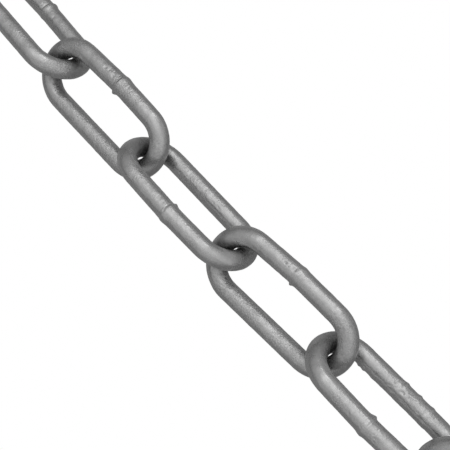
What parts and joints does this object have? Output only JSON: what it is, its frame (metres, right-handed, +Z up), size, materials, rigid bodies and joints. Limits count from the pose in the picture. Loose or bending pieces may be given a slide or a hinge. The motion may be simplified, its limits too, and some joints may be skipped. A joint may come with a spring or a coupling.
{
  "type": "welded long-link chain",
  "caption": "Straight length of welded long-link galvanised steel chain lying on a floor, its links tilted left and right in turn and free to swing.",
  "frame": {"origin": "centre of the chain's bounding box in plan, on the floor that it lies on", "axes": "+X along the chain from link_01 to link_24, +Y to its left, +Z up"},
  "size_m": [1.006, 0.0252, 0.019],
  "materials": {
    "galvanised_steel": "dull hot-dip galvanised, slightly lumpy"
  },
  "bodies": {
    "link_01": {"link_01": "galvanised_steel"},
    "link_02": {"link_02": "galvanised_steel"},
    "link_03": {"link_03": "galvanised_steel"},
    "link_04": {"link_04": "galvanised_steel"},
    "link_05": {"link_05": "galvanised_steel"},
    "link_06": {"link_06": "galvanised_steel"},
    "link_07": {"link_07": "galvanised_steel"},
    "link_08": {"link_08": "galvanised_steel"},
    "link_09": {"link_09": "galvanised_steel"},
    "link_10": {"link_10": "galvanised_steel"},
    "link_11": {"link_11": "galvanised_steel"},
    "link_12": {"link_12": "galvanised_steel"},
    "link_13": {"link_13": "galvanised_steel"},
    "link_14": {"link_14": "galvanised_steel"},
    "link_15": {"link_15": "galvanised_steel"},
    "link_16": {"link_16": "galvanised_steel"},
    "link_17": {"link_17": "galvanised_steel"},
    "link_18": {"link_18": "galvanised_steel"},
    "link_19": {"link_19": "galvanised_steel"},
    "link_20": {"link_20": "galvanised_steel"},
    "link_21": {"link_21": "galvanised_steel"},
    "link_22": {"link_22": "galvanised_steel"},
    "link_23": {"link_23": "galvanised_steel"},
    "link_24": {"link_24": "galvanised_steel"}
  },
  "joints": [
    {"name": "swing_02", "type": "hinge", "parent": "link_01", "child": "link_02", "pos_m": [-0.45196, 0.00207, 0.00916], "axis": [-0.0335, 0.7721, 0.6346], "range_deg": [-90, 90]},
    {"name": "swing_03", "type": "hinge", "parent": "link_02", "child": "link_03", "pos_m": [-0.41053, 0.00104, 0.00925], "axis": [-0.0368, -0.7646, 0.6435], "range_deg": [-90, 90]},
    {"name": "swing_04", "type": "hinge", "parent": "link_03", "child": "link_04", "pos_m": [-0.36909, 0.00159, 0.00899], "axis": [-0.0178, -0.7605, -0.6491], "range_deg": [-90, 90]},
    {"name": "swing_05", "type": "hinge", "parent": "link_04", "child": "link_05", "pos_m": [-0.32765, 0.00144, 0.00914], "axis": [0.0281, 0.7745, -0.632], "range_deg": [-90, 90]},
    {"name": "swing_06", "type": "hinge", "parent": "link_05", "child": "link_06", "pos_m": [-0.28621, 0.00111, 0.00901], "axis": [0.0319, 0.7579, 0.6515], "range_deg": [-90, 90]},
    {"name": "swing_07", "type": "hinge", "parent": "link_06", "child": "link_07", "pos_m": [-0.24479, 0.00212, 0.0089], "axis": [0.0365, -0.7677, 0.6398], "range_deg": [-90, 90]},
    {"name": "swing_08", "type": "hinge", "parent": "link_07", "child": "link_08", "pos_m": [-0.20334, 0.00133, 0.00904], "axis": [-0.0095, -0.7701, -0.6378], "range_deg": [-90, 90]},
    {"name": "swing_09", "type": "hinge", "parent": "link_08", "child": "link_09", "pos_m": [-0.1619, 0.00177, 0.00902], "axis": [-0.0298, 0.7572, -0.6526], "range_deg": [-90, 90]},
    {"name": "swing_10", "type": "hinge", "parent": "link_09", "child": "link_10", "pos_m": [-0.12047, 0.00155, 0.00934], "axis": [-0.0456, 0.7699, 0.6366], "range_deg": [-90, 90]},
    {"name": "swing_11", "type": "hinge", "parent": "link_10", "child": "link_11", "pos_m": [-0.07921, 0.00005, 0.0094], "axis": [0.0099, -0.7773, 0.6291], "range_deg": [-90, 90]},
    {"name": "swing_12", "type": "hinge", "parent": "link_11", "child": "link_12", "pos_m": [-0.03807, -0.00062, 0.00883], "axis": [-0.0099, -0.7751, -0.6318], "range_deg": [-90, 90]},
    {"name": "swing_13", "type": "hinge", "parent": "link_12", "child": "link_13", "pos_m": [0.00315, -0.00119, 0.00917], "axis": [-0.0119, 0.758, -0.6521], "range_deg": [-90, 90]},
    {"name": "swing_14", "type": "hinge", "parent": "link_13", "child": "link_14", "pos_m": [0.04432, -0.00011, 0.0082], "axis": [0.0467, 0.7914, 0.6095], "range_deg": [-90, 90]},
    {"name": "swing_15", "type": "hinge", "parent": "link_14", "child": "link_15", "pos_m": [0.08567, 0.00101, 0.00882], "axis": [-0.017, -0.8104, 0.5856], "range_deg": [-90, 90]},
    {"name": "swing_16", "type": "hinge", "parent": "link_15", "child": "link_16", "pos_m": [0.12709, -0.00031, 0.00889], "axis": [-0.0205, -0.7823, -0.6225], "range_deg": [-90, 90]},
    {"name": "swing_17", "type": "hinge", "parent": "link_16", "child": "link_17", "pos_m": [0.16853, -0.00062, 0.00903], "axis": [0.0067, 0.7705, -0.6374], "range_deg": [-90, 90]},
    {"name": "swing_18", "type": "hinge", "parent": "link_17", "child": "link_18", "pos_m": [0.20998, -0.00038, 0.00913], "axis": [-0.0266, 0.7747, 0.6318], "range_deg": [-90, 90]},
    {"name": "swing_19", "type": "hinge", "parent": "link_18", "child": "link_19", "pos_m": [0.25141, -0.00102, 0.00916], "axis": [-0.0075, -0.7596, 0.6503], "range_deg": [-90, 90]},
    {"name": "swing_20", "type": "hinge", "parent": "link_19", "child": "link_20", "pos_m": [0.29285, -0.00036, 0.00908], "axis": [0.0107, -0.7664, -0.6423], "range_deg": [-90, 90]},
    {"name": "swing_21", "type": "hinge", "parent": "link_20", "child": "link_21", "pos_m": [0.33429, -0.00107, 0.00917], "axis": [0.0344, 0.7712, -0.6357], "range_deg": [-90, 90]},
    {"name": "swing_22", "type": "hinge", "parent": "link_21", "child": "link_22", "pos_m": [0.37572, -0.00095, 0.00903], "axis": [0.0248, 0.7569, 0.6531], "range_deg": [-90, 90]},
    {"name": "swing_23", "type": "hinge", "parent": "link_22", "child": "link_23", "pos_m": [0.41715, -0.00041, 0.009], "axis": [0.0062, -0.7733, 0.634], "range_deg": [-90, 90]},
    {"name": "swing_24", "type": "hinge", "parent": "link_23", "child": "link_24", "pos_m": [0.4586, -0.00105, 0.00911], "axis": [-0.0104, -0.764, -0.6451], "range_deg": [-90, 90]}
  ]
}
